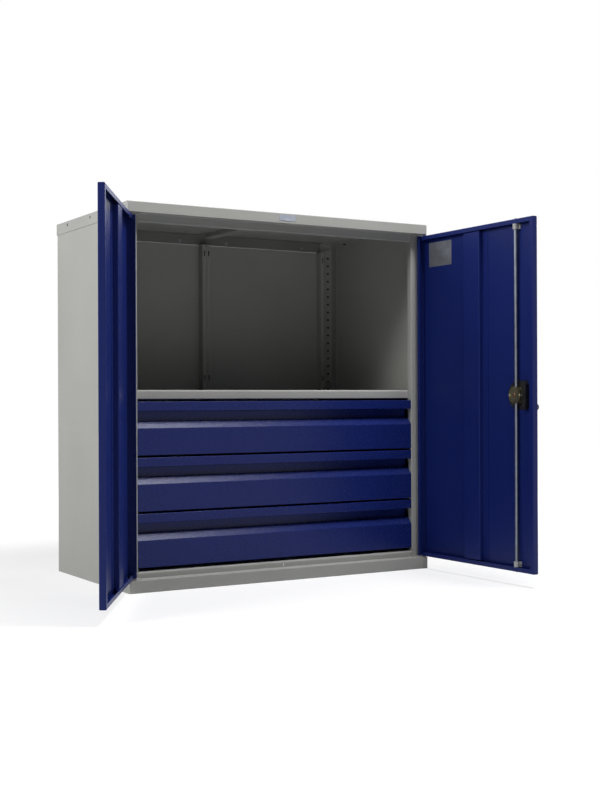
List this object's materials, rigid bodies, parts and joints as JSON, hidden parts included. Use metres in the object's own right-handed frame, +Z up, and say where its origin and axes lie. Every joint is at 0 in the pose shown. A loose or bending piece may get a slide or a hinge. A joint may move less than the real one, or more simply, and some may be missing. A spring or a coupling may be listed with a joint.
{
  "type": "tool cabinet with doors",
  "caption": "Low sheet-steel tool cabinet with hinged stiffened doors, a rod lock worked by a turning handle, a shelf and telescopic drawers with finger recesses.",
  "frame": {"origin": "middle of the footprint of the closed cabinet, on the floor", "axes": "+Z up, +Y from the doors to the back, +X to the right seen from the front"},
  "size_m": [1.2362, 0.9555, 1],
  "materials": {
    "shell_paint": "textured powder coat",
    "frame_paint": "textured powder coat",
    "blue_paint": "textured powder coat",
    "black_steel": "satin",
    "black_plastic": "matte",
    "zinc_steel": "satin",
    "brass_parts": "satin"
  },
  "bodies": {
    "cabinet": {"side_wall_left": "shell_paint", "side_wall_right": "shell_paint", "top_cap": "shell_paint", "header_rail": "frame_paint", "plinth_front": "frame_paint", "plinth_corners": "frame_paint", "floor_panel": "frame_paint", "floor_stiffener": "frame_paint", "roof_stiffener": "frame_paint", "rear_rail": "frame_paint", "rear_rail_bolts": "zinc_steel", "back_panel_left": "frame_paint", "back_panel_right": "frame_paint", "upright_front_left": "frame_paint", "upright_front_right": "frame_paint", "upright_rear_left": "frame_paint", "upright_rear_right": "frame_paint", "shelf": "frame_paint", "shelf_clips": "zinc_steel", "runner_carriers": "frame_paint", "drawer_1_outer_rails": "zinc_steel", "drawer_2_outer_rails": "zinc_steel", "drawer_3_outer_rails": "zinc_steel", "upper_hinge_brackets": "frame_paint", "lower_hinge_brackets": "frame_paint", "hinge_pins": "zinc_steel", "cap_screws": "black_steel"},
    "left_door": {"left_door_panel": "blue_paint", "left_door_stiffener": "blue_paint", "left_door_bushes": "zinc_steel"},
    "right_door": {"right_door_panel": "blue_paint", "right_door_stiffener": "blue_paint", "right_door_bushes": "zinc_steel", "lock_case": "black_plastic", "handle_rosette": "black_plastic", "upper_rod_guide": "zinc_steel", "lower_rod_guide": "zinc_steel", "key_cylinder": "brass_parts"},
    "handle": {"outside_handle": "black_plastic", "handle_spindle": "zinc_steel", "lock_cam": "zinc_steel"},
    "key": {"key_plug": "brass_parts", "door_key": "zinc_steel"},
    "upper_rod": {"upper_rod": "zinc_steel"},
    "lower_rod": {"lower_rod": "zinc_steel"},
    "drawer_1": {"drawer_1_front": "blue_paint", "drawer_1_tray": "blue_paint", "drawer_1_inner_rails": "zinc_steel"},
    "drawer_1_middles": {"drawer_1_middle_rails": "zinc_steel"},
    "drawer_2": {"drawer_2_front": "blue_paint", "drawer_2_tray": "blue_paint", "drawer_2_inner_rails": "zinc_steel"},
    "drawer_2_middles": {"drawer_2_middle_rails": "zinc_steel"},
    "drawer_3": {"drawer_3_front": "blue_paint", "drawer_3_tray": "blue_paint", "drawer_3_inner_rails": "zinc_steel"},
    "drawer_3_middles": {"drawer_3_middle_rails": "zinc_steel"}
  },
  "joints": [
    {"name": "left_door_hinge", "type": "hinge", "parent": "cabinet", "child": "left_door", "pos_m": [-0.4665, -0.2405, 0.5], "axis": [0, 0, -1], "range_deg": [-121.7, 8.3]},
    {"name": "right_door_hinge", "type": "hinge", "parent": "cabinet", "child": "right_door", "pos_m": [0.4665, -0.2405, 0.5], "axis": [0, 0, 1], "range_deg": [-90.4, 39.6]},
    {"name": "handle_turn", "type": "hinge", "parent": "right_door", "child": "handle", "pos_m": [0.47875, -0.63492, 0.502], "axis": [1, 0.007, 0], "range_deg": [0, 90]},
    {"name": "upper_rod_slide", "type": "slide", "parent": "right_door", "child": "upper_rod", "axis": [0, 0, 1], "range_m": [0, 0.01901]},
    {"name": "lower_rod_slide", "type": "slide", "parent": "right_door", "child": "lower_rod", "axis": [0, 0, -1], "range_m": [0, 0.01901]},
    {"name": "key_turn", "type": "hinge", "parent": "right_door", "child": "key", "pos_m": [0.47898, -0.66742, 0.4705], "axis": [1, 0.007, 0], "range_deg": [0, 90]},
    {"name": "drawer_1_slide", "type": "slide", "parent": "cabinet", "child": "drawer_1", "axis": [0, -1, 0], "range_m": [0, 0.35]},
    {"name": "drawer_1_middle_slide", "type": "slide", "parent": "cabinet", "child": "drawer_1_middles", "axis": [0, -1, 0], "range_m": [0, 0.175]},
    {"name": "drawer_2_slide", "type": "slide", "parent": "cabinet", "child": "drawer_2", "axis": [0, -1, 0], "range_m": [0, 0.35]},
    {"name": "drawer_2_middle_slide", "type": "slide", "parent": "cabinet", "child": "drawer_2_middles", "axis": [0, -1, 0], "range_m": [0, 0.175]},
    {"name": "drawer_3_slide", "type": "slide", "parent": "cabinet", "child": "drawer_3", "axis": [0, -1, 0], "range_m": [0, 0.35]},
    {"name": "drawer_3_middle_slide", "type": "slide", "parent": "cabinet", "child": "drawer_3_middles", "axis": [0, -1, 0], "range_m": [0, 0.175]}
  ],
  "couplings": [
    {"joint": "upper_rod_slide", "follows": "handle_turn", "m_per_rad": 0.012096},
    {"joint": "lower_rod_slide", "follows": "handle_turn", "m_per_rad": 0.012096},
    {"joint": "drawer_1_middle_slide", "follows": "drawer_1_slide", "ratio": 0.5},
    {"joint": "drawer_2_middle_slide", "follows": "drawer_2_slide", "ratio": 0.5},
    {"joint": "drawer_3_middle_slide", "follows": "drawer_3_slide", "ratio": 0.5}
  ]
}
